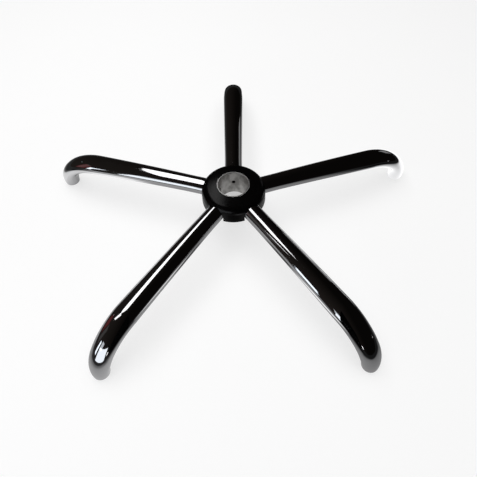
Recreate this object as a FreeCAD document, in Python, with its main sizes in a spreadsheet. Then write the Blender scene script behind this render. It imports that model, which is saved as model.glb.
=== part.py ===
import FreeCAD, Part
import math
import os
import Sketcher

# Five-star office chair base: a tapered centre sleeve, five chromed oval tube arms that bend down to the
# floor, a moulded hub cover, and a nylon plug with a steel stem socket in the mouth of each arm.
# Frame: millimetres, origin at the centre of the sleeve's mouth, +Z up out of the sleeve, one arm along +Y.

ARM_COUNT = 5
ARM_PITCH = 360.0 / ARM_COUNT
FIRST_ARM_ANGLE = 90.0

# Driving dimensions: alias, value in millimetres or degrees, meaning
DIMENSIONS = [
    ("tip_radius", 350.0, "hub axis to the outermost point of an arm's mouth"),
    ("mouth_diameter", 50.0, "bore of the centre sleeve at its mouth"),
    ("taper_half_angle", 1.44, "half angle of the sleeve's tapered bore"),
    ("sleeve_wall", 2.3, "wall of the centre sleeve at its mouth"),
    ("sleeve_length", 47.0, "height of the centre sleeve"),
    ("lip_chamfer", 0.8, "bevel inside the sleeve's mouth"),
    ("vent_diameter", 6.5, "hole through the sleeve into each arm"),
    ("arm_drop", 22.2, "sleeve mouth down to the arm's axis at the hub"),
    ("arch_radius", 3600.0, "slow downward curve of the arm's axis"),
    ("shoulder_bend_radius", 91.0, "first, wider bend of the arm's axis"),
    ("end_bend_radius", 57.0, "second, tighter bend, down to the mouth"),
    ("end_bend_angle", 45.0, "share of the turn that the tighter bend takes"),
    ("root_width", 30.8, "arm section at the hub, across"),
    ("root_height", 26.5, "arm section at the hub, upright"),
    ("bend_width", 38.3, "arm section where the bend starts, across"),
    ("bend_height", 29.9, "arm section where the bend starts, upright"),
    ("elbow_width", 35.5, "arm section between the two bends, across"),
    ("elbow_height", 27.0, "arm section between the two bends, in the bend's plane"),
    ("rim_diameter", 25.5, "outside of the arm's round mouth"),
    ("tube_wall", 1.8, "wall of the arm tube"),
    ("weld_gap", 2.0, "room for the weld between neighbouring arms at the sleeve"),
    ("cover_radius", 54.2, "hub cover at its lower edge"),
    ("cover_depth", 33.2, "sleeve mouth down to the cover's lower edge"),
    ("cover_top_drop", 0.8, "sleeve mouth down to the cover's top edge"),
    ("cover_draft", 1.5, "lean of the cover's wall"),
    ("cover_shoulder_radius", 14.0, "rounding between the cover's wall and crown"),
    ("cover_crown_radius", 200.0, "crown of the cover's top"),
    ("cover_wall", 2.2, "thickness of the cover"),
    ("cover_clearance", 0.3, "gap between the cover and what it sits on"),
    ("notch_headroom", 1.5, "room over an arm in the cover's notch"),
    ("collar_wall", 2.0, "thickness of the cover's collar around the sleeve"),
    ("plug_clearance", 0.15, "gap between plug and tube"),
    ("plug_recess", 0.5, "arm mouth up to the plug's lower face"),
    ("plug_top_diameter", 14.8, "upper end of the tapered plug"),
    ("stem_diameter", 11.1, "bore for an 11 mm caster stem"),
    ("socket_wall", 1.0, "wall of the stem socket"),
    ("socket_length", 20.0, "height of the stem socket and its plug"),
    ("socket_chamfer", 0.5, "bevel inside the socket's mouth"),
]
VALUES = {alias: value for alias, value, meaning in DIMENSIONS}
SLEEVE_RADIUS = VALUES["mouth_diameter"] / 2 + VALUES["sleeve_wall"]
SLEEVE_RADIUS_EXPRESSION = "(dims.mouth_diameter / 2 + dims.sleeve_wall)"

Vector = FreeCAD.Vector
ORIGIN_POINT = (-1, 1)
HORIZONTAL_AXIS, VERTICAL_AXIS = range(-1, -3, -1)
START, END, CENTRE = range(1, 4)


def dim(alias):
    """The spreadsheet cell of one driving dimension, as an expression."""
    return "dims." + alias


def new_sheet(doc):
    """The spreadsheet of driving dimensions, one aliased row each."""
    sheet = doc.addObject("Spreadsheet::Sheet", "dims")
    for row, (alias, value, meaning) in enumerate(DIMENSIONS, start=1):
        sheet.set(f"A{row}", meaning)
        sheet.set(f"B{row}", str(value))
        sheet.setAlias(f"B{row}", alias)
    doc.recompute()
    return sheet


def new_body(doc, label):
    body = doc.addObject("PartDesign::Body", label)
    body.Label = label
    return body


def origin_feature(body, role):
    """One of the body's own origin planes or axes."""
    return next(feature for feature in body.Origin.OriginFeatures if feature.Role == role)


def plane_sketch(body, name, role):
    """A sketch on one of the body's origin planes."""
    sketch = body.newObject("Sketcher::SketchObject", name)
    sketch.AttachmentSupport = [(origin_feature(body, role), "")]
    sketch.MapMode = "FlatFace"
    return sketch


def constrain(sketch, *rule):
    return sketch.addConstraint(Sketcher.Constraint(*rule))


def size(sketch, name, expression, *rule):
    """A dimension of the sketch, bound to the spreadsheet."""
    sketch.renameConstraint(constrain(sketch, *rule), name)
    sketch.setExpression("Constraints." + name, expression)


def lines(sketch, points):
    """A closed outline of straight lines, joined end to end."""
    ends = points[1:] + points[:1]
    edges = [
        sketch.addGeometry(Part.LineSegment(Vector(*start, 0), Vector(*end, 0)))
        for start, end in zip(points, ends)
    ]
    for edge, following in zip(edges, edges[1:] + edges[:1]):
        constrain(sketch, "Coincident", edge, END, following, START)
    return edges


def turn(body, kind, name, sketch):
    """A full turn of the sketch about the body's upright axis."""
    feature = body.newObject(kind, name)
    feature.Profile = sketch
    feature.ReferenceAxis = (origin_feature(body, "Z_Axis"), [""])
    feature.Angle = 360.0
    return feature


def repeat_round_hub(body, name, feature):
    """Copies of a cut, one for each arm."""
    pattern = body.newObject("PartDesign::PolarPattern", name)
    pattern.Originals = [feature]
    pattern.Axis = (origin_feature(body, "Z_Axis"), [""])
    pattern.Angle = 360.0
    pattern.Occurrences = ARM_COUNT
    body.Tip = pattern
    return pattern


def arm_angle(index):
    return FIRST_ARM_ANGLE + ARM_PITCH * index


def turned(angle):
    return FreeCAD.Placement(Vector(0, 0, 0), FreeCAD.Rotation(Vector(0, 0, 1), angle))


# Centre sleeve

def make_sleeve(doc):
    body = new_body(doc, "centre_sleeve")
    outer = SLEEVE_RADIUS
    mouth = VALUES["mouth_diameter"] / 2
    lip = VALUES["lip_chamfer"]
    foot = -VALUES["sleeve_length"]
    throat = mouth + foot * math.tan(math.radians(VALUES["taper_half_angle"]))
    profile = plane_sketch(body, "sleeve_profile", "XZ_Plane")
    base, wall, rim, bevel, bore = lines(
        profile, [(throat, foot), (outer, foot), (outer, 0), (mouth + lip, 0), (mouth, -lip)]
    )
    constrain(profile, "Horizontal", base)
    constrain(profile, "Vertical", wall)
    constrain(profile, "Horizontal", rim)
    constrain(profile, "PointOnObject", rim, START, HORIZONTAL_AXIS)
    size(profile, "radius", SLEEVE_RADIUS_EXPRESSION, "DistanceX", *ORIGIN_POINT, wall, START, outer)
    size(profile, "length", dim("sleeve_length"), "DistanceY", wall, START, wall, END, -foot)
    size(profile, "mouth", dim("mouth_diameter") + " / 2", "DistanceX", *ORIGIN_POINT, bore, START, mouth)
    size(profile, "lip_depth", dim("lip_chamfer"), "DistanceY", bore, START, *ORIGIN_POINT, lip)
    size(profile, "lip_width", dim("lip_chamfer"), "DistanceX", bore, START, rim, END, lip)
    narrowing = "tan(" + dim("taper_half_angle") + " * 1 deg)"
    taper_run = f"({dim('sleeve_length')} - {dim('lip_chamfer')}) * {narrowing}"
    size(profile, "taper", taper_run, "DistanceX", bore, END, bore, START, mouth - throat)
    turn(body, "PartDesign::Revolution", "sleeve_tube", profile)

    vent_sketch = plane_sketch(body, "vent_sketch", "YZ_Plane")
    hole = vent_sketch.addGeometry(
        Part.Circle(Vector(0, -VALUES["arm_drop"], 0), Vector(0, 0, 1), VALUES["vent_diameter"] / 2)
    )
    constrain(vent_sketch, "PointOnObject", hole, CENTRE, VERTICAL_AXIS)
    size(vent_sketch, "drop", dim("arm_drop"), "DistanceY", hole, CENTRE, *ORIGIN_POINT, VALUES["arm_drop"])
    size(vent_sketch, "across", dim("vent_diameter"), "Diameter", hole, VALUES["vent_diameter"])
    vent = body.newObject("PartDesign::Pocket", "vent")
    vent.Profile = vent_sketch
    vent.Type = "Length"
    vent.Reversed = True
    vent.setExpression("Length", "2 * " + SLEEVE_RADIUS_EXPRESSION)
    repeat_round_hub(body, "vents", vent)
    body.Placement = turned(FIRST_ARM_ANGLE)
    return body


# Arms

def arc(centre, radius, start, end):
    """An arc whose angles are slopes below the level, measured from its topmost point."""
    quarter = math.pi / 2
    circle = Part.Circle(Vector(*centre, 0), Vector(0, 0, 1), radius)
    return Part.ArcOfCircle(circle, quarter - end, quarter - start)


def beyond(centre, distance, slope):
    """The point at a distance from an arc's centre, in the direction square to the slope."""
    return (centre[0] + distance * math.sin(slope), centre[1] + distance * math.cos(slope))


def make_spine(body):
    """The arm's axis: a slow arch from the hub and two bends that end upright in the mouth."""
    arch_radius = VALUES["arch_radius"]
    shoulder_radius = VALUES["shoulder_bend_radius"]
    end_radius = VALUES["end_bend_radius"]
    rim_radius = VALUES["tip_radius"] - VALUES["rim_diameter"] / 2
    level, upright = 0.0, math.pi / 2
    elbow = upright - math.radians(VALUES["end_bend_angle"])
    end_centre_radius = rim_radius - end_radius
    shoulder_centre_radius = end_centre_radius - (shoulder_radius - end_radius) * math.sin(elbow)
    brow = math.asin(shoulder_centre_radius / (arch_radius - shoulder_radius))
    arch_centre = (0.0, -VALUES["arm_drop"] - arch_radius)
    shoulder_centre = beyond(arch_centre, arch_radius - shoulder_radius, brow)
    end_centre = beyond(shoulder_centre, shoulder_radius - end_radius, elbow)

    spine = plane_sketch(body, body.Label + "_spine", "XZ_Plane")
    end_bend = spine.addGeometry(arc(end_centre, end_radius, elbow, upright))
    shoulder = spine.addGeometry(arc(shoulder_centre, shoulder_radius, brow, elbow))
    arch = spine.addGeometry(arc(arch_centre, arch_radius, level, brow))
    constrain(spine, "Tangent", end_bend, END, shoulder, START)
    constrain(spine, "Tangent", shoulder, END, arch, START)
    constrain(spine, "PointOnObject", arch, END, VERTICAL_AXIS)
    constrain(spine, "PointOnObject", arch, CENTRE, VERTICAL_AXIS)
    constrain(spine, "Horizontal", end_bend, CENTRE, end_bend, START)
    size(spine, "drop", dim("arm_drop"), "DistanceY", arch, END, *ORIGIN_POINT, VALUES["arm_drop"])
    size(spine, "arch", dim("arch_radius"), "Radius", arch, arch_radius)
    size(spine, "shoulder", dim("shoulder_bend_radius"), "Radius", shoulder, shoulder_radius)
    size(spine, "end_bend", dim("end_bend_radius"), "Radius", end_bend, end_radius)
    end_turn = dim("end_bend_angle") + " * 1 deg"
    size(spine, "end_turn", end_turn, "Angle", end_bend, upright - elbow)
    reach = f"{dim('tip_radius')} - {dim('rim_diameter')} / 2"
    size(spine, "reach", reach, "DistanceX", *ORIGIN_POINT, end_bend, START, rim_radius)
    rim_level = constrain(spine, "DistanceY", end_bend, START, *ORIGIN_POINT, -end_centre[1])
    spine.setDriving(rim_level, False)
    spine.renameConstraint(rim_level, "rim_level")
    return spine


def arm_stations():
    """Sections from hub to mouth: the spine's edge, the place on it, and two sizes with their blend."""
    end_bend, shoulder, arch = "Edge1", "Edge2", "Edge3"
    root, bend, elbow = "root", "bend", "elbow"
    hub_axis, cope_end, plain_root_end = 1.0, 0.86, 0.7
    run_steps, steps = 3, 6
    stations = [(arch, place, root, root, 0.0) for place in (hub_axis, cope_end, plain_root_end)]
    for step in range(1, run_steps):
        stations.append((arch, plain_root_end * (1.0 - step / run_steps), root, bend, step / run_steps))
    for step in range(steps):
        stations.append((shoulder, 1.0 - step / steps, bend, elbow, step / steps))
    for step in range(steps):
        stations.append((end_bend, 1.0 - step / steps, elbow, "rim", (step / steps) ** 2))
    return stations


def section_value(name, direction):
    return VALUES["rim_diameter"] if name == "rim" else VALUES[f"{name}_{direction}"]


def section_dim(name, direction):
    return dim("rim_diameter") if name == "rim" else dim(f"{name}_{direction}")


def section_size(first, second, blend, direction, inset):
    """One size of a section, as its value and as an expression of the driving dimensions."""
    start, end = section_value(first, direction), section_value(second, direction)
    value = start + (end - start) * blend
    start, end = section_dim(first, direction), section_dim(second, direction)
    expression = f"{start} + ({end} - {start}) * {blend}"
    if inset:
        value -= 2 * VALUES["tube_wall"]
        expression += f" - 2 * {dim('tube_wall')}"
    return value, expression


def spine_sketch(body, name, spine, edge, place):
    """A sketch square to the spine, with its X axis across the arm."""
    sketch = body.newObject("Sketcher::SketchObject", name)
    sketch.AttachmentSupport = [(spine, edge)]
    sketch.MapMode = "NormalToEdge"
    sketch.MapPathParameter = place
    return sketch


def oval_section(body, name, spine, station, inset):
    edge, place, first, second, blend = station
    width, width_expression = section_size(first, second, blend, "width", inset)
    height, height_expression = section_size(first, second, blend, "height", inset)
    sketch = spine_sketch(body, name, spine, edge, place)
    ellipse = sketch.addGeometry(
        Part.Ellipse(Vector(width / 2, 0, 0), Vector(0, height / 2, 0), Vector(0, 0, 0))
    )
    sketch.exposeInternalGeometry(ellipse)
    long_axis, short_axis = ellipse + 1, ellipse + 2
    constrain(sketch, "Coincident", ellipse, CENTRE, *ORIGIN_POINT)
    constrain(sketch, "Horizontal", long_axis)
    size(sketch, "width", width_expression, "Distance", long_axis, width)
    size(sketch, "height", height_expression, "Distance", short_axis, height)
    return sketch


def mouth_section(body, name, spine, inset):
    diameter, expression = section_size("rim", "rim", 0.0, "width", inset)
    sketch = spine_sketch(body, name, spine, "Edge1", 0.0)
    circle = sketch.addGeometry(Part.Circle(Vector(0, 0, 0), Vector(0, 0, 1), diameter / 2))
    constrain(sketch, "Coincident", circle, CENTRE, *ORIGIN_POINT)
    size(sketch, "width", expression, "Diameter", circle, diameter)
    return sketch


def arm_loft(doc, body, kind, name, spine, inset):
    """A loft along the whole arm, outside or inside of the tube."""
    sections = [
        oval_section(body, f"{body.Label}_{name}_{number}", spine, station, inset)
        for number, station in enumerate(arm_stations())
    ]
    sections.append(mouth_section(body, f"{body.Label}_{name}_mouth", spine, inset))
    doc.recompute()
    loft = body.newObject(kind, f"{body.Label}_{name}")
    loft.Profile = sections[0]
    loft.Sections = sections[1:]
    loft.Ruled = True
    doc.recompute()
    return loft


def cope_root(body):
    """The arm's root, cut to the sleeve's outside and mitred beside its neighbours."""
    radius = SLEEVE_RADIUS
    gap = VALUES["weld_gap"] / 2
    mitre = math.radians(ARM_PITCH / 2)
    side = VALUES["root_width"]
    back = 2 * SLEEVE_RADIUS
    inner = mitre - math.asin(gap / radius)
    corner = (radius * math.cos(inner), radius * math.sin(inner))
    far = ((side + gap / math.cos(mitre)) / math.tan(mitre), side)
    sketch = plane_sketch(body, body.Label + "_cope_sketch", "XY_Plane")

    def line(start, end):
        return sketch.addGeometry(Part.LineSegment(Vector(*start, 0), Vector(*end, 0)))

    seat = sketch.addGeometry(
        Part.ArcOfCircle(Part.Circle(Vector(0, 0, 0), Vector(0, 0, 1), radius), -inner, inner)
    )
    left = line(corner, far)
    left_edge = line(far, (-back, side))
    back_edge = line((-back, side), (-back, -side))
    right_edge = line((-back, -side), (far[0], -side))
    right = line((far[0], -side), (corner[0], -corner[1]))
    chain = [left, left_edge, back_edge, right_edge, right]
    constrain(sketch, "Coincident", seat, END, left, START)
    constrain(sketch, "Coincident", right, END, seat, START)
    for edge, following in zip(chain, chain[1:]):
        constrain(sketch, "Coincident", edge, END, following, START)
    constrain(sketch, "Coincident", seat, CENTRE, *ORIGIN_POINT)
    constrain(sketch, "Horizontal", left_edge)
    constrain(sketch, "Vertical", back_edge)
    constrain(sketch, "Horizontal", right_edge)
    constrain(sketch, "Vertical", left, START, right, END)
    constrain(sketch, "Symmetric", left, END, right, START, HORIZONTAL_AXIS)
    constrain(sketch, "Angle", left, mitre)
    size(sketch, "seat", SLEEVE_RADIUS_EXPRESSION, "Radius", seat, radius)
    size(sketch, "gap", dim("weld_gap") + " / 2", "Distance", *ORIGIN_POINT, left, gap)
    size(sketch, "side", dim("root_width"), "DistanceY", *ORIGIN_POINT, left, END, side)
    behind = "2 * " + SLEEVE_RADIUS_EXPRESSION
    size(sketch, "back", behind, "DistanceX", back_edge, START, *ORIGIN_POINT, back)
    cope = body.newObject("PartDesign::Pocket", body.Label + "_cope")
    cope.Profile = sketch
    cope.Midplane = True
    cope.Type = "ThroughAll"
    return cope


def make_arm(doc, index):
    body = new_body(doc, f"arm_{index + 1}")
    spine = make_spine(body)
    doc.recompute()
    arm_loft(doc, body, "PartDesign::AdditiveLoft", "tube", spine, inset=False)
    arm_loft(doc, body, "PartDesign::SubtractiveLoft", "bore", spine, inset=True)
    cope_root(body)
    body.Placement = turned(arm_angle(index))
    return body, spine


# Hub cover

def dome_profile(body, name, inset):
    """Half of the dome's outline: flat foot, leaning wall, rounded shoulder and crown."""
    wall = VALUES["cover_wall"] if inset else 0.0
    less = f" - {dim('cover_wall')}" if inset else ""
    radius = VALUES["cover_radius"] - wall
    foot = -VALUES["cover_depth"]
    shoulder_radius = VALUES["cover_shoulder_radius"] - wall
    crown_radius = VALUES["cover_crown_radius"] - wall
    hole_radius = SLEEVE_RADIUS + VALUES["cover_clearance"]
    crown_centre = -VALUES["cover_top_drop"] - math.sqrt(VALUES["cover_crown_radius"] ** 2 - hole_radius ** 2)
    draft = math.radians(VALUES["cover_draft"])
    # The shoulder's centre lies inside the wall by its radius, and inside the crown by the same.
    height = -foot / 2
    for attempt in range(6):
        shoulder_x = radius - (height * math.tan(draft)) - shoulder_radius / math.cos(draft)
        shoulder_y = crown_centre + math.sqrt((crown_radius - shoulder_radius) ** 2 - shoulder_x ** 2)
        height = shoulder_y - foot
    shoulder_centre = (shoulder_x, shoulder_y)
    crest = math.asin(shoulder_x / (crown_radius - shoulder_radius))
    wall_top = (
        shoulder_x + shoulder_radius * math.cos(draft),
        shoulder_y + shoulder_radius * math.sin(draft),
    )
    sketch = plane_sketch(body, name, "XZ_Plane")

    def line(start, end):
        return sketch.addGeometry(Part.LineSegment(Vector(*start, 0), Vector(*end, 0)))

    base = line((0, foot), (radius, foot))
    side = line((radius, foot), wall_top)
    shoulder = sketch.addGeometry(arc(shoulder_centre, shoulder_radius, crest, math.pi / 2 - draft))
    crown = sketch.addGeometry(arc((0, crown_centre), crown_radius, 0.0, crest))
    axis = line((0, crown_centre + crown_radius), (0, foot))
    constrain(sketch, "Coincident", base, END, side, START)
    constrain(sketch, "Tangent", side, END, shoulder, START)
    constrain(sketch, "Tangent", shoulder, END, crown, START)
    constrain(sketch, "Coincident", crown, END, axis, START)
    constrain(sketch, "Coincident", axis, END, base, START)
    constrain(sketch, "Horizontal", base)
    constrain(sketch, "PointOnObject", base, START, VERTICAL_AXIS)
    constrain(sketch, "PointOnObject", crown, END, VERTICAL_AXIS)
    constrain(sketch, "PointOnObject", crown, CENTRE, VERTICAL_AXIS)
    size(sketch, "radius", dim("cover_radius") + less, "DistanceX", *ORIGIN_POINT, base, END, radius)
    size(sketch, "depth", dim("cover_depth"), "DistanceY", base, END, *ORIGIN_POINT, -foot)
    lean = f"90 deg + {dim('cover_draft')} * 1 deg"
    size(sketch, "lean", lean, "Angle", side, math.pi / 2 + draft)
    size(sketch, "shoulder", dim("cover_shoulder_radius") + less, "Radius", shoulder, shoulder_radius)
    size(sketch, "crown", dim("cover_crown_radius") + less, "Radius", crown, crown_radius)
    hole = f"({SLEEVE_RADIUS_EXPRESSION} + {dim('cover_clearance')})"
    sink = f"{dim('cover_top_drop')} + sqrt({dim('cover_crown_radius')}^2 - {hole}^2)"
    size(sketch, "crown_sink", sink, "DistanceY", crown, CENTRE, *ORIGIN_POINT, -crown_centre)
    return sketch


def make_cover(doc):
    body = new_body(doc, "hub_cover")
    turn(body, "PartDesign::Revolution", "cover_dome", dome_profile(body, "dome_outside", inset=False))
    turn(body, "PartDesign::Groove", "cover_hollow", dome_profile(body, "dome_inside", inset=True))
    doc.recompute()

    hole_radius = SLEEVE_RADIUS + VALUES["cover_clearance"]
    hole_expression = f"{SLEEVE_RADIUS_EXPRESSION} + {dim('cover_clearance')}"
    collar_top = VALUES["cover_top_drop"] + VALUES["cover_wall"] / 2
    collar_foot = VALUES["arm_drop"] - VALUES["root_height"] / 2 - VALUES["cover_clearance"]
    collar_wall = VALUES["collar_wall"]
    collar = plane_sketch(body, "collar_profile", "XZ_Plane")
    foot, outside, top, inside = lines(
        collar,
        [
            (hole_radius, -collar_foot),
            (hole_radius + collar_wall, -collar_foot),
            (hole_radius + collar_wall, -collar_top),
            (hole_radius, -collar_top),
        ],
    )
    for edge in (foot, top):
        constrain(collar, "Horizontal", edge)
    for edge in (outside, inside):
        constrain(collar, "Vertical", edge)
    size(collar, "hole", hole_expression, "DistanceX", *ORIGIN_POINT, foot, START, hole_radius)
    size(collar, "wall", dim("collar_wall"), "DistanceX", foot, START, foot, END, collar_wall)
    top_expression = f"{dim('cover_top_drop')} + {dim('cover_wall')} / 2"
    size(collar, "top", top_expression, "DistanceY", top, START, *ORIGIN_POINT, collar_top)
    seat = f"{dim('arm_drop')} - {dim('root_height')} / 2 - {dim('cover_clearance')}"
    size(collar, "foot", seat, "DistanceY", foot, START, *ORIGIN_POINT, collar_foot)
    turn(body, "PartDesign::Revolution", "cover_collar", collar)
    doc.recompute()

    hole_sketch = plane_sketch(body, "sleeve_hole_sketch", "XY_Plane")
    circle = hole_sketch.addGeometry(Part.Circle(Vector(0, 0, 0), Vector(0, 0, 1), hole_radius))
    constrain(hole_sketch, "Coincident", circle, CENTRE, *ORIGIN_POINT)
    size(hole_sketch, "radius", hole_expression, "Radius", circle, hole_radius)
    hole = body.newObject("PartDesign::Pocket", "sleeve_hole")
    hole.Profile = hole_sketch
    hole.Midplane = True
    hole.Type = "ThroughAll"
    doc.recompute()

    repeat_round_hub(body, "arm_notches", cut_notch(body))
    body.Placement = turned(FIRST_ARM_ANGLE)
    return body


def cut_notch(body):
    """An opening in the cover's wall for one arm: half an oval over straight sides."""
    half_width = VALUES["root_width"] / 2 + VALUES["cover_clearance"]
    half_height = VALUES["root_height"] / 2 + VALUES["notch_headroom"]
    sag = VALUES["cover_radius"] ** 2 / (2 * VALUES["arch_radius"])
    axis_drop = VALUES["arm_drop"] + sag
    below = VALUES["cover_depth"] + VALUES["cover_wall"]
    sketch = plane_sketch(body, "notch_sketch", "YZ_Plane")
    oval = Part.Ellipse(
        Vector(half_width, -axis_drop, 0), Vector(0, half_height - axis_drop, 0), Vector(0, -axis_drop, 0)
    )
    top = sketch.addGeometry(Part.ArcOfEllipse(oval, 0.0, math.pi))
    sketch.exposeInternalGeometry(top)
    long_axis, short_axis = top + 1, top + 2

    def line(start, end):
        return sketch.addGeometry(Part.LineSegment(Vector(*start, 0), Vector(*end, 0)))

    left = line((-half_width, -axis_drop), (-half_width, -below))
    foot = line((-half_width, -below), (half_width, -below))
    right = line((half_width, -below), (half_width, -axis_drop))
    constrain(sketch, "Coincident", top, END, left, START)
    constrain(sketch, "Coincident", left, END, foot, START)
    constrain(sketch, "Coincident", foot, END, right, START)
    constrain(sketch, "Coincident", right, END, top, START)
    constrain(sketch, "Horizontal", long_axis)
    constrain(sketch, "PointOnObject", top, CENTRE, VERTICAL_AXIS)
    constrain(sketch, "Coincident", top, START, long_axis, START)
    constrain(sketch, "Vertical", left)
    constrain(sketch, "Vertical", right)
    constrain(sketch, "Horizontal", foot)
    wide = f"{dim('root_width')} + 2 * {dim('cover_clearance')}"
    size(sketch, "width", wide, "Distance", long_axis, 2 * half_width)
    tall = f"{dim('root_height')} + 2 * {dim('notch_headroom')}"
    size(sketch, "height", tall, "Distance", short_axis, 2 * half_height)
    drop = f"{dim('arm_drop')} + {dim('cover_radius')}^2 / (2 * {dim('arch_radius')})"
    size(sketch, "drop", drop, "DistanceY", top, CENTRE, *ORIGIN_POINT, axis_drop)
    depth = f"{dim('cover_depth')} + {dim('cover_wall')}"
    size(sketch, "below", depth, "DistanceY", foot, START, *ORIGIN_POINT, below)
    notch = body.newObject("PartDesign::Pocket", "arm_notch")
    notch.Profile = sketch
    notch.Type = "Length"
    notch.Reversed = True
    notch.setExpression("Length", "2 * " + dim("cover_radius"))
    return notch


# Plugs and stem sockets in the arms' mouths

def seat_in_mouth(body, spine, index):
    """Stands a body upright in an arm's mouth, a little above its rim."""
    angle = arm_angle(index)
    reach = f"({dim('tip_radius')} - {dim('rim_diameter')} / 2)"
    body.setExpression("Placement.Base.x", f"{reach} * cos({angle} deg)")
    body.setExpression("Placement.Base.y", f"{reach} * sin({angle} deg)")
    body.setExpression("Placement.Base.z", f"{dim('plug_recess')} - {spine.Name}.Constraints.rim_level / 1 mm")


def make_plug(doc, spine, index):
    body = new_body(doc, f"stem_plug_{index + 1}")
    lower = VALUES["rim_diameter"] / 2 - VALUES["tube_wall"] - VALUES["plug_clearance"]
    upper = VALUES["plug_top_diameter"] / 2
    bore = VALUES["stem_diameter"] / 2 + VALUES["socket_wall"]
    height = VALUES["socket_length"]
    profile = plane_sketch(body, body.Label + "_profile", "XZ_Plane")
    foot, outside, top, inside = lines(profile, [(bore, 0), (lower, 0), (upper, height), (bore, height)])
    constrain(profile, "Horizontal", top)
    constrain(profile, "Vertical", inside)
    constrain(profile, "PointOnObject", foot, START, HORIZONTAL_AXIS)
    constrain(profile, "PointOnObject", foot, END, HORIZONTAL_AXIS)
    fit = f"{dim('rim_diameter')} / 2 - {dim('tube_wall')} - {dim('plug_clearance')}"
    size(profile, "lower", fit, "DistanceX", *ORIGIN_POINT, foot, END, lower)
    size(profile, "upper", dim("plug_top_diameter") + " / 2", "DistanceX", *ORIGIN_POINT, top, START, upper)
    hole = f"{dim('stem_diameter')} / 2 + {dim('socket_wall')}"
    size(profile, "bore", hole, "DistanceX", *ORIGIN_POINT, foot, START, bore)
    size(profile, "height", dim("socket_length"), "DistanceY", inside, END, inside, START, height)
    turn(body, "PartDesign::Revolution", body.Label + "_turned", profile)
    seat_in_mouth(body, spine, index)
    return body


def make_socket(doc, spine, index):
    body = new_body(doc, f"stem_socket_{index + 1}")
    bore = VALUES["stem_diameter"] / 2
    outer = bore + VALUES["socket_wall"]
    bevel_size = VALUES["socket_chamfer"]
    height = VALUES["socket_length"]
    profile = plane_sketch(body, body.Label + "_profile", "XZ_Plane")
    foot, outside, top, inside, bevel = lines(
        profile, [(bore + bevel_size, 0), (outer, 0), (outer, height), (bore, height), (bore, bevel_size)]
    )
    constrain(profile, "Vertical", outside)
    constrain(profile, "Horizontal", top)
    constrain(profile, "Vertical", inside)
    constrain(profile, "PointOnObject", foot, START, HORIZONTAL_AXIS)
    constrain(profile, "PointOnObject", foot, END, HORIZONTAL_AXIS)
    size(profile, "bore", dim("stem_diameter") + " / 2", "DistanceX", *ORIGIN_POINT, top, END, bore)
    size(profile, "wall", dim("socket_wall"), "DistanceX", top, END, top, START, VALUES["socket_wall"])
    size(profile, "height", dim("socket_length"), "DistanceY", outside, START, outside, END, height)
    size(profile, "bevel_width", dim("socket_chamfer"), "DistanceX", bevel, START, bevel, END, bevel_size)
    size(profile, "bevel_height", dim("socket_chamfer"), "DistanceY", bevel, END, bevel, START, bevel_size)
    turn(body, "PartDesign::Revolution", body.Label + "_turned", profile)
    seat_in_mouth(body, spine, index)
    return body


# Whole base

def check(doc, bodies):
    """Stops before anything is written if an object failed or a piece isn't one valid solid."""
    for item in doc.Objects:
        if {"Invalid", "Error"} & set(item.State):
            raise RuntimeError(f"{item.Label} failed: {item.State}")
    for body in bodies:
        if body.Shape.isNull() or not body.Shape.isValid() or len(body.Shape.Solids) != 1:
            raise RuntimeError(f"{body.Label} is not one valid solid")


def main():
    doc = FreeCAD.newDocument("five_star_base")
    new_sheet(doc)
    bodies = [make_sleeve(doc), make_cover(doc)]
    for index in range(ARM_COUNT):
        arm, spine = make_arm(doc, index)
        bodies += [arm, make_plug(doc, spine, index), make_socket(doc, spine, index)]
    doc.recompute()
    check(doc, bodies)
    os.makedirs("parts", exist_ok=True)
    for body in bodies:
        body.Shape.exportStep(os.path.join("parts", body.Label + ".step"))
        print(body.Label, round(body.Shape.Volume, 1), "mm3")


main()
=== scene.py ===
import math

import bmesh
import bpy
from mathutils import Matrix, Vector


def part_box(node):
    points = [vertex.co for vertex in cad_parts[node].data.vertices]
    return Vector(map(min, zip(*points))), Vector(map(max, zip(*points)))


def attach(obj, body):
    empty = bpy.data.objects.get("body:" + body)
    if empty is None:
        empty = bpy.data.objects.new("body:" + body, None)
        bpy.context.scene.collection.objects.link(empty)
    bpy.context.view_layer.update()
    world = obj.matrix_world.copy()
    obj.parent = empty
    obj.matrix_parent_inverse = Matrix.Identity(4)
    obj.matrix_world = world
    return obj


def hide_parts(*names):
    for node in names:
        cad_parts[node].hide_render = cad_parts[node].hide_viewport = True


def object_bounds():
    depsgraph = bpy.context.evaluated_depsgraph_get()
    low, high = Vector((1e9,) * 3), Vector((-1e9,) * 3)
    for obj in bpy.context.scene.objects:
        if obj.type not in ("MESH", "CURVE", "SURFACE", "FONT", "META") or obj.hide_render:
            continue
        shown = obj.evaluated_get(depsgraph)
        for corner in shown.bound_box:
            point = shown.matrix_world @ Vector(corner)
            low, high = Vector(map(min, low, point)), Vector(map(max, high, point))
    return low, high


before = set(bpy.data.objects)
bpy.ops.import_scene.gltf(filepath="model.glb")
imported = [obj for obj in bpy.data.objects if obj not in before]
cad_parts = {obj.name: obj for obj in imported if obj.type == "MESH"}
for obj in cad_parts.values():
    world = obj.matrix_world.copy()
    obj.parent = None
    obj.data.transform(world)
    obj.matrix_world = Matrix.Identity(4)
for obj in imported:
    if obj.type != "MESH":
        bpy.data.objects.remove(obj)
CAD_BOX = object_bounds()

# Office chair five-star base, seen from above the front: chromed arms in a dark room with a few bright
# panels, on a white floor. The arms and the camera are in millimetres in the part's frame and become
# metres through MM. The surfaces and the stage are in metres. Angles are in degrees.

MM = 0.001
ARMS = range(1, 6)
ARM_PITCH = 72.0
FIRST_ARM_ANGLE = 90.0

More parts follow.
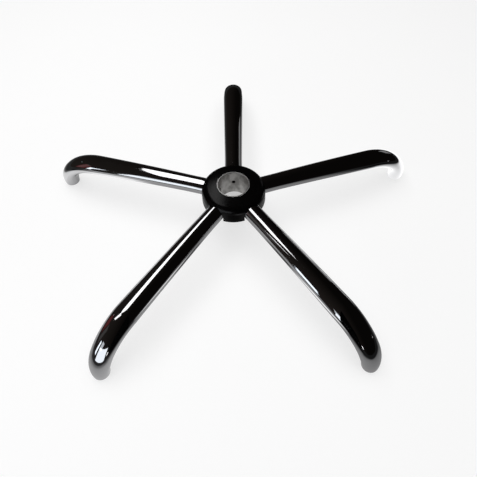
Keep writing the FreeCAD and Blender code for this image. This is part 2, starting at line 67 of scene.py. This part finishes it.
# Arm axis and sections, the same values as the solid's
TIP_RADIUS = 350.0
ARM_DROP = 22.2
ARCH_RADIUS = 3600.0
SHOULDER_RADIUS = 91.0
END_RADIUS = 57.0
END_TURN = 45.0
ROOT_SIZE = (30.8, 26.5)
BEND_SIZE = (38.3, 29.9)
ELBOW_SIZE = (35.5, 27.0)
RIM_SIZE = (25.5, 25.5)
TUBE_WALL = 1.8
PLAIN_ROOT = 0.3
LIP_ROUND = 0.35

# Fineness of the arms' meshes
RUN_STEPS = 60
BEND_STEPS = 40
SIDES = 96
SHARP_EDGE = 50.0

# Camera of the photograph, in its own frame of 477 by 477, with its turns in radians
FRAME_PIXELS = 477.0
SENSOR = 36.0
CAMERA_PLACE = (14.78, -448.32, 511.83)
CAMERA_YAW, CAMERA_PITCH, CAMERA_ROLL = -0.0251, -0.9771, 0.0017
FOCAL_PIXELS = 407.58
CENTRE_PIXELS = (10.55, -3.18)
NEAREST_SEEN = 10.0

# Surfaces: the span that a noise mostly keeps to, and the depth of grain and turning marks
NOISE_SPAN = (0.3, 0.7)
GRAIN_DEPTH = 0.0002

# White floor with a painted shadow behind the hub, where it is seen through the sleeve, and wholly white far
# off
FLOOR_SIZE = 12.0
FLOOR_ROUGHNESS = 0.9
OWN_WHITE = 0.68
LIT_WHITE = 0.34
PAINTED_HUB_SHADOW = 0.55
PAINTED_HUB_SHADOW_CENTRE = (0.0, 0.068)
PAINTED_HUB_SHADOW_REACH = (0.055, 0.055)
FAR_CENTRE = (0.0, 0.0)
FAR_REACH = (2.6, 2.6)

# Soft edge of every spot on the floor, as shares of its reach
SPOT_EDGE = (0.5, 1.0)

# Painted light of the table top that only the chrome mirrors: lighter on the left, darker to the right and
# nearly black beyond its edge
TABLE_SPAN = (-0.4, 0.3)
TABLE_LIGHT_LEVELS = (0.60, 0.24)
TABLE_CENTRE = (-0.04, -0.06)
TABLE_REACH = (0.50, 0.50)
BEYOND_TABLE = 0.06

# Painted shadows that darken the table top and painted pools of light that brighten it, each with its centre,
# reach and level
PAINTED_SHADOW_SPOTS = [
    ((0.01, -0.46), (0.21, 0.24), 0.04),
    ((0.40, -0.02), (0.17, 0.11), 0.05),
    ((-0.50, 0.00), (0.17, 0.06), 0.05),
    ((-0.22, 0.34), (0.16, 0.14), 0.30),
    ((0.00, -0.13), (0.07, 0.05), 0.20),
]
PAINTED_LIGHT_POOLS = [
    ((0.38, 0.16), (0.24, 0.14), 1.6),
    ((-0.26, 0.04), (0.09, 0.07), 0.9),
    ((0.05, -0.24), (0.05, 0.11), 1.2),
    ((0.24, -0.33), (0.18, 0.11), 0.15),
    ((-0.20, -0.31), (0.11, 0.08), 0.12),
    ((0.18, 0.29), (0.12, 0.14), 0.20),
    ((-0.38, 0.08), (0.07, 0.07), 0.75),
    ((-0.42, -0.13), (0.13, 0.11), 0.35),
]

# Black screen of painted shade, seen only in reflections, that runs straight forward from the base
SCREEN_PLACE = (0.0, -0.79, 0.17)
SCREEN_HEIGHT = 0.54
SCREEN_LENGTH = 0.88
SCREEN_BLACK = (0.004, 0.004, 0.004)

# Dark room: its tint, and its strength for directions from the left to the right
ROOM_TINT = (1.0, 0.84, 0.74)
ROOM_SPAN = (-0.9, 0.3)
ROOM_LEVELS = (0.020, 0.004)

# Colours of light
WHITE = (1.0, 1.0, 1.0)
DAYLIGHT = (0.9, 0.95, 1.0)
SKY = (0.86, 0.93, 1.0)
COLD = (0.8, 0.95, 1.0)
RED = (1.0, 0.12, 0.14)


# Node helpers

def new_material(name):
    """A new material, with its nodes, its links and its shader."""
    material = bpy.data.materials.new(name)
    material.use_nodes = True
    nodes, links = material.node_tree.nodes, material.node_tree.links
    shader = nodes["Principled BSDF"]
    return material, nodes, links, shader


def feed(links, socket, value):
    """Gives a socket the output of a node, a plain colour or a plain number."""
    if isinstance(value, bpy.types.NodeSocket):
        links.new(value, socket)
    elif socket.type == "RGBA":
        socket.default_value = (*value, 1.0)
    else:
        socket.default_value = value


def coordinates(nodes, links, scale=(1.0, 1.0, 1.0)):
    """The object's own coordinates, each axis times its scale."""
    place = nodes.new("ShaderNodeTexCoord")
    mapping = nodes.new("ShaderNodeMapping")
    mapping.inputs["Scale"].default_value = scale
    links.new(place.outputs["Object"], mapping.inputs["Vector"])
    return mapping.outputs["Vector"]


def axis(nodes, links, vector, name):
    """One axis of a vector."""
    node = nodes.new("ShaderNodeSeparateXYZ")
    links.new(vector, node.inputs["Vector"])
    return node.outputs[name]


def noise(nodes, links, vector, scale, detail=2.0, roughness=0.5):
    """A soft random value from 0 to 1."""
    node = nodes.new("ShaderNodeTexNoise")
    node.inputs["Scale"].default_value = scale
    node.inputs["Detail"].default_value = detail
    node.inputs["Roughness"].default_value = roughness
    links.new(vector, node.inputs["Vector"])
    return node.outputs["Fac"]


def spread(nodes, links, value, span, levels):
    """A value moved from one range to another and kept inside it."""
    node = nodes.new("ShaderNodeMapRange")
    node.inputs["From Min"].default_value, node.inputs["From Max"].default_value = span
    node.inputs["To Min"].default_value, node.inputs["To Max"].default_value = levels
    links.new(value, node.inputs["Value"])
    return node.outputs["Result"]


def math_node(nodes, links, operation, first, second):
    """A sum, product or the like of two values."""
    node = nodes.new("ShaderNodeMath")
    node.operation = operation
    links.new(first, node.inputs[0])
    links.new(second, node.inputs[1])
    return node.outputs["Value"]


def spot(nodes, links, place, centre, reach, inside, outside):
    """One value around a point of the floor and another beyond its reach, with a soft edge between."""
    mapping = nodes.new("ShaderNodeMapping")
    mapping.vector_type = "TEXTURE"
    mapping.inputs["Location"].default_value = (*centre, 0.0)
    mapping.inputs["Scale"].default_value = (*reach, 1.0)
    links.new(place, mapping.inputs["Vector"])
    length = nodes.new("ShaderNodeVectorMath")
    length.operation = "LENGTH"
    links.new(mapping.outputs["Vector"], length.inputs[0])
    return spread(nodes, links, length.outputs["Value"], SPOT_EDGE, (inside, outside))


def two_colours(nodes, links, share, first, second, mode="MIX"):
    """The first colour, and the second one over it by a share."""
    node = nodes.new("ShaderNodeMix")
    node.data_type = "RGBA"
    node.blend_type = mode
    feed(links, node.inputs["Factor"], share)
    feed(links, node.inputs["A"], first)
    feed(links, node.inputs["B"], second)
    return node.outputs["Result"]


def two_shaders(nodes, links, share, first, second):
    """The first shader, and the second one in its place by a share."""
    node = nodes.new("ShaderNodeMixShader")
    links.new(share, node.inputs["Fac"])
    links.new(first, node.inputs[1])
    links.new(second, node.inputs[2])
    return node.outputs["Shader"]


def bump(nodes, links, shader, value, strength):
    """Fine grain on a surface."""
    node = nodes.new("ShaderNodeBump")
    node.inputs["Strength"].default_value = strength
    node.inputs["Distance"].default_value = GRAIN_DEPTH
    links.new(value, node.inputs["Height"])
    links.new(node.outputs["Normal"], shader.inputs["Normal"])


# Materials

def plated_metal(name, dull, bright, smear_scale, smear_span, roughness):
    """Plated metal with faint smears in its colour and its shine."""
    material, nodes, links, shader = new_material(name)
    shader.inputs["Metallic"].default_value = 1.0
    smear = noise(nodes, links, coordinates(nodes, links), smear_scale, detail=4.0, roughness=0.6)
    links.new(two_colours(nodes, links, smear, dull, bright), shader.inputs["Base Color"])
    links.new(spread(nodes, links, smear, smear_span, roughness), shader.inputs["Roughness"])
    return material


def chrome():
    """Bright chrome plate."""
    return plated_metal(
        "chrome_plate",
        dull=(0.50, 0.50, 0.51),
        bright=(0.56, 0.56, 0.57),
        smear_scale=22.0,
        smear_span=(0.35, 0.75),
        roughness=(0.025, 0.07),
    )


def zinc():
    """Zinc plated steel with a slightly cloudy shine."""
    return plated_metal(
        "zinc_steel",
        dull=(0.50, 0.51, 0.53),
        bright=(0.66, 0.66, 0.67),
        smear_scale=240.0,
        smear_span=NOISE_SPAN,
        roughness=(0.22, 0.36),
    )


def moulded_plastic(name, dark, light, cloud_scale, roughness, specular, grain_scale, grain):
    """Moulded plastic with faint clouds in its colour and a fine satin grain."""
    material, nodes, links, shader = new_material(name)
    shader.inputs["Specular IOR Level"].default_value = specular
    place = coordinates(nodes, links)
    cloud = noise(nodes, links, place, cloud_scale, detail=3.0)
    links.new(two_colours(nodes, links, cloud, dark, light), shader.inputs["Base Color"])
    links.new(spread(nodes, links, cloud, NOISE_SPAN, roughness), shader.inputs["Roughness"])
    bump(nodes, links, shader, noise(nodes, links, place, grain_scale), grain)
    return material


def black_plastic():
    """Black plastic of the cover."""
    return moulded_plastic(
        "black_plastic",
        dark=(0.0007, 0.0006, 0.0006),
        light=(0.0018, 0.0016, 0.0016),
        cloud_scale=60.0,
        roughness=(0.19, 0.25),
        specular=0.16,
        grain_scale=1800.0,
        grain=0.12,
    )


def nylon():
    """Dark grey nylon of the plugs."""
    return moulded_plastic(
        "grey_nylon",
        dark=(0.045, 0.045, 0.047),
        light=(0.07, 0.07, 0.072),
        cloud_scale=90.0,
        roughness=(0.45, 0.55),
        specular=0.5,
        grain_scale=1500.0,
        grain=0.1,
    )


def bare_steel():
    """Turned bare steel: upright streaks, dark stains, a painted highlight on the lip and fine rings."""
    dull, bright, roughness = (0.44, 0.43, 0.415), (0.80, 0.79, 0.77), (0.28, 0.44)
    stain_colour, stain_share = (0.12, 0.11, 0.10), 0.7
    patch_span, patch_levels = (0.38, 0.56), (0.25, 1.0)
    lip_highlight_colour, lip_highlight_span = (0.86, 0.85, 0.83), (-0.0016, -0.0006)
    ring_strength = 0.15
    material, nodes, links, shader = new_material("bare_steel")
    shader.inputs["Metallic"].default_value = 1.0

    drawn_out = coordinates(nodes, links, scale=(90.0, 90.0, 9.0))
    streak = noise(nodes, links, drawn_out, 1.0, detail=4.0, roughness=0.6)
    steel = two_colours(nodes, links, streak, dull, bright)
    links.new(spread(nodes, links, streak, NOISE_SPAN, roughness), shader.inputs["Roughness"])

    blotched = coordinates(nodes, links, scale=(70.0, 70.0, 45.0))
    patch = noise(nodes, links, blotched, 1.0, detail=3.0, roughness=0.55)
    clean = spread(nodes, links, patch, patch_span, patch_levels)
    stain = two_colours(nodes, links, clean, stain_colour, WHITE)
    stained = two_colours(nodes, links, stain_share, steel, stain, mode="MULTIPLY")

    # Painted highlight: the top of the sleeve's lip is coloured brighter
    height = axis(nodes, links, coordinates(nodes, links), "Z")
    lip = spread(nodes, links, height, lip_highlight_span, (0.0, 1.0))
    colour = two_colours(nodes, links, lip, stained, lip_highlight_colour)
    links.new(colour, shader.inputs["Base Color"])

    flattened = coordinates(nodes, links, scale=(1.0, 1.0, 2600.0))
    turning = noise(nodes, links, flattened, 1.0, detail=1.0)
    bump(nodes, links, shader, turning, ring_strength)
    return material


# Arms

def blend(first, second, share):
    """A section size between two others."""
    return tuple(a + (b - a) * share for a, b in zip(first, second))


def arm_stations(sleeve_radius):
    """Points of the arm's axis from the sleeve to the mouth: radius, height, slope and section size."""
    elbow = math.radians(90.0 - END_TURN)
    upright = math.radians(90.0)
    end_x = TIP_RADIUS - RIM_SIZE[0] / 2 - END_RADIUS
    shoulder_x = end_x - (SHOULDER_RADIUS - END_RADIUS) * math.sin(elbow)
    brow = math.asin(shoulder_x / (ARCH_RADIUS - SHOULDER_RADIUS))
    arch_z = -ARM_DROP - ARCH_RADIUS
    shoulder_z = arch_z + (ARCH_RADIUS - SHOULDER_RADIUS) * math.cos(brow)
    end_z = shoulder_z + (SHOULDER_RADIUS - END_RADIUS) * math.cos(elbow)
    sleeve_share = sleeve_radius / shoulder_x
    stations = []

    def add(centre_x, centre_z, radius, slope, section):
        x = centre_x + radius * math.sin(slope)
        z = centre_z + radius * math.cos(slope)
        stations.append((x, z, slope, section))

    for step in range(RUN_STEPS):
        share = sleeve_share + (1.0 - sleeve_share) * step / RUN_STEPS
        widen = max(0.0, (share - PLAIN_ROOT) / (1.0 - PLAIN_ROOT))
        add(0.0, arch_z, ARCH_RADIUS, brow * share, blend(ROOT_SIZE, BEND_SIZE, widen))
    for step in range(BEND_STEPS):
        share = step / BEND_STEPS
        slope = brow + (elbow - brow) * share
        add(shoulder_x, shoulder_z, SHOULDER_RADIUS, slope, blend(BEND_SIZE, ELBOW_SIZE, share))
    for step in range(BEND_STEPS + 1):
        share = step / BEND_STEPS
        slope = elbow + (upright - elbow) * share
        add(end_x, end_z, END_RADIUS, slope, blend(ELBOW_SIZE, RIM_SIZE, share ** 2))
    return stations


def ring(station, inset):
    """One oval ring of points around the arm's axis, set in from the outside."""
    x, z, slope, (width, height) = station
    points = []
    for side in range(SIDES):
        turn = 2 * math.pi * side / SIDES
        across = (width / 2 - inset) * math.cos(turn)
        out = (height / 2 - inset) * math.sin(turn)
        points.append(Vector((x + out * math.sin(slope), across, z + out * math.cos(slope))))
    return points


def coped(points, radius):
    """A ring pushed along the arm onto the sleeve's outside."""
    return [Vector((math.sqrt(radius ** 2 - p.y ** 2), p.y, p.z)) for p in points]


def arm_rings(sleeve_radius):
    """The rings of an arm's tube in order: the outside, the rounded lip of the mouth, the inside."""
    root, *run, mouth = arm_stations(sleeve_radius)
    lip = Vector((0.0, 0.0, LIP_ROUND))
    rings = [coped(ring(root, 0.0), sleeve_radius)]
    rings += [ring(station, 0.0) for station in run]
    rings.append([p + lip for p in ring(mouth, 0.0)])
    rings.append(ring(mouth, LIP_ROUND))
    rings.append(ring(mouth, TUBE_WALL - LIP_ROUND))
    rings.append([p + lip for p in ring(mouth, TUBE_WALL)])
    rings += [ring(station, TUBE_WALL) for station in reversed(run)]
    rings.append(coped(ring(root, TUBE_WALL), sleeve_radius))
    return rings


def make_arm(number, material, sleeve_radius):
    """A smooth closed tube that takes the place of an arm's solid."""
    mesh = bpy.data.meshes.new(f"arm_{number}_tube")
    shape = bmesh.new()
    turn = Matrix.Rotation(math.radians(FIRST_ARM_ANGLE + ARM_PITCH * (number - 1)), 4, "Z")
    rings = arm_rings(sleeve_radius)
    verts = [[shape.verts.new(turn @ (p * MM)) for p in points] for points in rings]
    for here, there in zip(verts, verts[1:] + verts[:1]):
        for side in range(SIDES):
            following = (side + 1) % SIDES
            shape.faces.new((here[side], there[side], there[following], here[following]))
    bmesh.ops.recalc_face_normals(shape, faces=shape.faces)
    shape.to_mesh(mesh)
    shape.free()
    mesh.shade_smooth()
    mesh.set_sharp_from_angle(angle=math.radians(SHARP_EDGE))
    mesh.materials.append(material)
    tube = bpy.data.objects.new(f"arm_{number}_tube", mesh)
    bpy.context.scene.collection.objects.link(tube)
    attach(tube, "root")
    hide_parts(f"arm_{number}")


def paint(node, material):
    """Gives one of the solids its material."""
    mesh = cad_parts[node].data
    mesh.materials.clear()
    mesh.materials.append(material)


# Stage

def camera():
    """The camera of the photograph."""
    turn = (
        Matrix.Rotation(CAMERA_YAW, 4, "Z")
        @ Matrix.Rotation(CAMERA_PITCH, 4, "X")
        @ Matrix.Rotation(CAMERA_ROLL, 4, "Y")
        @ Matrix.Rotation(math.radians(90.0), 4, "X")
    )
    data = bpy.data.cameras.new("photo_camera")
    data.sensor_width = SENSOR
    data.lens = FOCAL_PIXELS / FRAME_PIXELS * SENSOR
    data.shift_x = -CENTRE_PIXELS[0] / FRAME_PIXELS
    data.shift_y = CENTRE_PIXELS[1] / FRAME_PIXELS
    data.clip_start = NEAREST_SEEN * MM
    item = bpy.data.objects.new("photo_camera", data)
    item.matrix_world = Matrix.Translation(Vector(CAMERA_PLACE) * MM) @ turn
    bpy.context.scene.collection.objects.link(item)
    bpy.context.scene.camera = item


def painted_table_light(nodes, links, place):
    """The painted light and shade of the table top that the chrome mirrors, and of the dark room beyond its
    edge.
    """
    level = spread(nodes, links, axis(nodes, links, place, "X"), TABLE_SPAN, TABLE_LIGHT_LEVELS)
    edge = spot(nodes, links, place, TABLE_CENTRE, TABLE_REACH, 1.0, BEYOND_TABLE)
    level = math_node(nodes, links, "MULTIPLY", level, edge)
    for centre, reach, scale in PAINTED_SHADOW_SPOTS:
        dark = spot(nodes, links, place, centre, reach, scale, 1.0)
        level = math_node(nodes, links, "MULTIPLY", level, dark)
    for centre, reach, more in PAINTED_LIGHT_POOLS:
        pool = spot(nodes, links, place, centre, reach, more, 0.0)
        level = math_node(nodes, links, "ADD", level, pool)
    return level


def floor(level):
    """A white floor that keeps the shadow, with a painted shadow behind the hub, a table top of painted light
    and shade where the chrome mirrors it, and clear from below.
    """
    bpy.ops.mesh.primitive_plane_add(size=FLOOR_SIZE, location=(0.0, 0.0, level))
    plane = bpy.context.object
    plane.name = "floor"
    material, nodes, links, shader = new_material("white_floor")
    shader.inputs["Base Color"].default_value = (LIT_WHITE, LIT_WHITE, LIT_WHITE, 1.0)
    shader.inputs["Roughness"].default_value = FLOOR_ROUGHNESS
    shader.inputs["Specular IOR Level"].default_value = 0.0
    shader.inputs["Emission Color"].default_value = (OWN_WHITE, OWN_WHITE, OWN_WHITE, 1.0)
    place = coordinates(nodes, links)
    path = nodes.new("ShaderNodeLightPath")
    # Painted shadow: the floor's own white is darker in a soft spot behind the hub
    painted_hub_shadow = spot(nodes, links, place, PAINTED_HUB_SHADOW_CENTRE, PAINTED_HUB_SHADOW_REACH, PAINTED_HUB_SHADOW, 1.0)
    far_white = spot(nodes, links, place, FAR_CENTRE, FAR_REACH, 1.0, 1.0 / OWN_WHITE)
    evened = math_node(nodes, links, "MULTIPLY", painted_hub_shadow, far_white)
    seen_straight = math_node(nodes, links, "MULTIPLY", path.outputs["Is Camera Ray"], evened)
    links.new(seen_straight, shader.inputs["Emission Strength"])

    # Reflections show a table top of painted light and shade in place of the white floor
    painted_table_glow = nodes.new("ShaderNodeEmission")
    links.new(painted_table_light(nodes, links, place), painted_table_glow.inputs["Strength"])
    glossy, through = path.outputs["Is Glossy Ray"], path.outputs["Is Transmission Ray"]
    mirrored = math_node(nodes, links, "MAXIMUM", glossy, through)
    top = two_shaders(nodes, links, mirrored, shader.outputs["BSDF"], painted_table_glow.outputs["Emission"])
    clear = nodes.new("ShaderNodeBsdfTransparent")
    side = nodes.new("ShaderNodeNewGeometry")
    both = two_shaders(nodes, links, side.outputs["Backfacing"], top, clear.outputs["BSDF"])
    links.new(both, nodes["Material Output"].inputs["Surface"])
    plane.data.materials.append(material)


def dark_screen():
    """An upright black screen that only the chrome shows: painted shade in its reflections."""
    bpy.ops.mesh.primitive_plane_add(size=1.0, location=SCREEN_PLACE)
    screen = bpy.context.object
    screen.name = "dark_screen"
    screen.scale = (SCREEN_HEIGHT, SCREEN_LENGTH, 1.0)
    screen.rotation_euler = (0.0, math.radians(90.0), 0.0)
    # Painted shade: a black sheet that darkens what the chrome mirrors
    material, _, _, shader = new_material("painted_shade_black")
    shader.inputs["Base Color"].default_value = (*SCREEN_BLACK, 1.0)
    shader.inputs["Specular IOR Level"].default_value = 0.0
    screen.data.materials.append(material)
    screen.visible_camera = False
    screen.visible_diffuse = False
    screen.visible_shadow = False


def room():
    """A dark brown room, a little lighter to the left, and white where the camera looks at it straight."""
    world = bpy.data.worlds.new("room")
    bpy.context.scene.world = world
    world.use_nodes = True
    nodes, links = world.node_tree.nodes, world.node_tree.links
    dark = nodes["Background"]
    dark.inputs["Color"].default_value = (*ROOM_TINT, 1.0)
    direction = nodes.new("ShaderNodeTexCoord").outputs["Generated"]
    strength = spread(nodes, links, axis(nodes, links, direction, "X"), ROOM_SPAN, ROOM_LEVELS)
    links.new(strength, dark.inputs["Strength"])
    white = nodes.new("ShaderNodeBackground")
    white.inputs["Color"].default_value = (*WHITE, 1.0)
    straight = nodes.new("ShaderNodeLightPath").outputs["Is Camera Ray"]
    both = two_shaders(nodes, links, straight, dark.outputs["Background"], white.outputs["Background"])
    links.new(both, nodes["World Output"].inputs["Surface"])


def area_lamp(name, place, size, brightness, colour):
    """A bright rectangle that shines along its own -Z, placed by a matrix."""
    data = bpy.data.lights.new(name, "AREA")
    data.shape = "RECTANGLE"
    data.size, data.size_y = size
    data.energy = brightness * math.pi * size[0] * size[1]
    data.color = colour
    lamp = bpy.data.objects.new(name, data)
    lamp.matrix_world = place
    bpy.context.scene.collection.objects.link(lamp)
    return lamp


def wall_panel(name, azimuth, tilt, distance, size, brightness, colour=WHITE):
    """A bright panel that faces the base from a direction: degrees round from +X, degrees down from above."""
    away = Vector((
        math.sin(math.radians(tilt)) * math.cos(math.radians(azimuth)),
        math.sin(math.radians(tilt)) * math.sin(math.radians(azimuth)),
        math.cos(math.radians(tilt)),
    ))
    facing = away.to_track_quat("Z", "Y").to_matrix().to_4x4()
    area_lamp(name, Matrix.Translation(away * distance) @ facing, size, brightness, colour)


def ceiling_panel(name, centre, height, size, brightness, turn=0.0, lean=0.0):
    """A bright panel above the base, turned about the upright by some degrees, and level or leaning."""
    turned = Matrix.Rotation(math.radians(turn), 4, "Z")
    leaning = Matrix.Rotation(math.radians(lean), 4, "X")
    place = Matrix.Translation((*centre, height)) @ turned @ leaning
    return area_lamp(name, place, size, brightness, WHITE)


def lamps():
    """The lights and bright things of the room, and a soft box that lights the base but is not mirrored."""
    soft_box = ceiling_panel("soft_box", centre=(0.0, 0.0), height=2.2, size=(3.0, 3.0), brightness=1.9)
    soft_box.visible_glossy = False
    ceiling_panel("long_ceiling_light", centre=(-0.455, 0.59), height=1.1, turn=-4.0,
                  size=(0.40, 1.22), brightness=2.4)
    ceiling_panel("leaning_lamp", centre=(-0.39, -0.17), height=0.37, lean=-68.4,
                  size=(0.17, 0.15), brightness=2.0)
    wall_panel("left_window", azimuth=207.0, tilt=79.0, distance=2.0,
               size=(0.24, 0.73), brightness=2.3, colour=SKY)
    wall_panel("front_window", azimuth=240.0, tilt=86.0, distance=2.0,
               size=(1.6, 1.1), brightness=1.8, colour=DAYLIGHT)
    wall_panel("window_top", azimuth=223.5, tilt=69.0, distance=2.0,
               size=(0.46, 0.42), brightness=0.9, colour=DAYLIGHT)
    wall_panel("front_lamp", azimuth=270.0, tilt=87.0, distance=2.2,
               size=(0.12, 0.22), brightness=2.2)
    wall_panel("right_lamp", azimuth=350.0, tilt=87.0, distance=2.27,
               size=(0.08, 0.08), brightness=1.2)
    wall_panel("left_lamp", azimuth=160.0, tilt=66.0, distance=2.25,
               size=(0.07, 0.07), brightness=0.9, colour=COLD)
    wall_panel("red_cloth", azimuth=183.5, tilt=78.5, distance=0.70,
               size=(0.2, 0.26), brightness=0.10, colour=RED)
    wall_panel("left_wall", azimuth=189.0, tilt=70.0, distance=2.0,
               size=(0.45, 1.0), brightness=0.05)
    wall_panel("right_wall", azimuth=48.0, tilt=86.0, distance=2.0,
               size=(0.5, 0.5), brightness=0.28)


# Whole scene

def main():
    """The base with its materials, then the stage around it."""
    bpy.context.scene.view_settings.view_transform = "Standard"
    low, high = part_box("centre_sleeve")
    sleeve_radius = (high[0] - low[0]) / 2 / MM
    chrome_plate = chrome()
    paint("centre_sleeve", bare_steel())
    paint("hub_cover", black_plastic())
    plug_nylon, socket_zinc = nylon(), zinc()
    for number in ARMS:
        make_arm(number, chrome_plate, sleeve_radius)
        paint(f"stem_plug_{number}", plug_nylon)
        paint(f"stem_socket_{number}", socket_zinc)
    lowest = CAD_BOX[0][2]
    floor(lowest)
    dark_screen()
    room()
    lamps()
    camera()


main()
